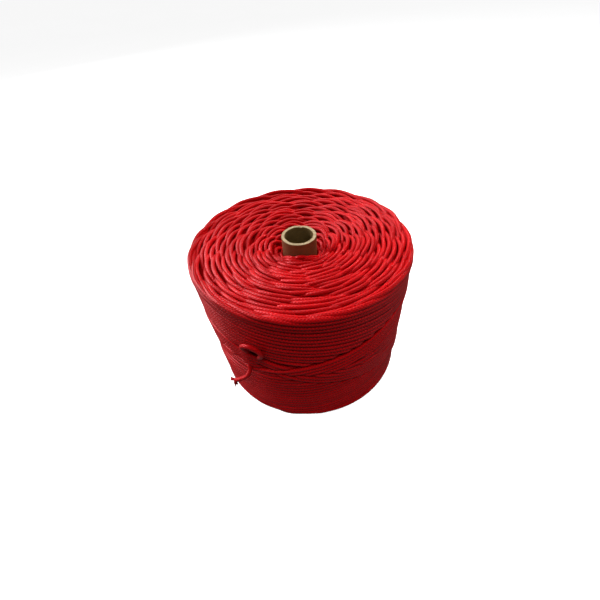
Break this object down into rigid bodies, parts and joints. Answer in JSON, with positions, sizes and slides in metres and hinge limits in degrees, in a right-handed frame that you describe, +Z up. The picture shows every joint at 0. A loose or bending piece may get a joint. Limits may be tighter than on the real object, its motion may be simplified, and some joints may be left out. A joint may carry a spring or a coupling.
{
  "type": "cord reel",
  "caption": "Flangeless reel of braided cord wound on a plain paper tube, with its loose end tucked under the last turns; it stands on end or turns on a spindle.",
  "frame": {"origin": "on the tube's axis, in the plane of the bottom end that the reel stands on", "axes": "+Z up along the tube; -Y towards the side where the closing turns cross; the loose cord end is at the -X, -Y side"},
  "size_m": [0.1991, 0.1992, 0.1495],
  "materials": {
    "red_cord": "braided yarn, satin",
    "tube_board": "cut greyboard edge, matt",
    "kraft_wrap": "brown kraft paper, matt",
    "liner_paper": "unbleached liner paper, matt"
  },
  "bodies": {
    "root": {"tube_liner_ply": "liner_paper", "tube_board_ply_1": "tube_board", "tube_board_ply_2": "tube_board", "tube_board_ply_3": "tube_board", "tube_board_ply_4": "tube_board", "tube_board_ply_5": "tube_board", "tube_wrap_ply": "kraft_wrap", "cord_layer_01": "red_cord", "cord_layer_02": "red_cord", "cord_layer_03": "red_cord", "cord_layer_04": "red_cord", "cord_layer_05": "red_cord", "cord_layer_06": "red_cord", "cord_layer_07": "red_cord", "cord_layer_08": "red_cord", "cord_layer_09": "red_cord", "cord_layer_10": "red_cord", "cord_layer_11": "red_cord", "cord_layer_12": "red_cord", "cord_layer_13": "red_cord", "cord_layer_14": "red_cord", "cord_layer_15": "red_cord", "cord_layer_16": "red_cord", "cord_layer_17": "red_cord", "cord_layer_18": "red_cord", "cord_layer_19": "red_cord", "closing_turns": "red_cord", "cord_tail": "red_cord"}
  },
  "joints": []
}
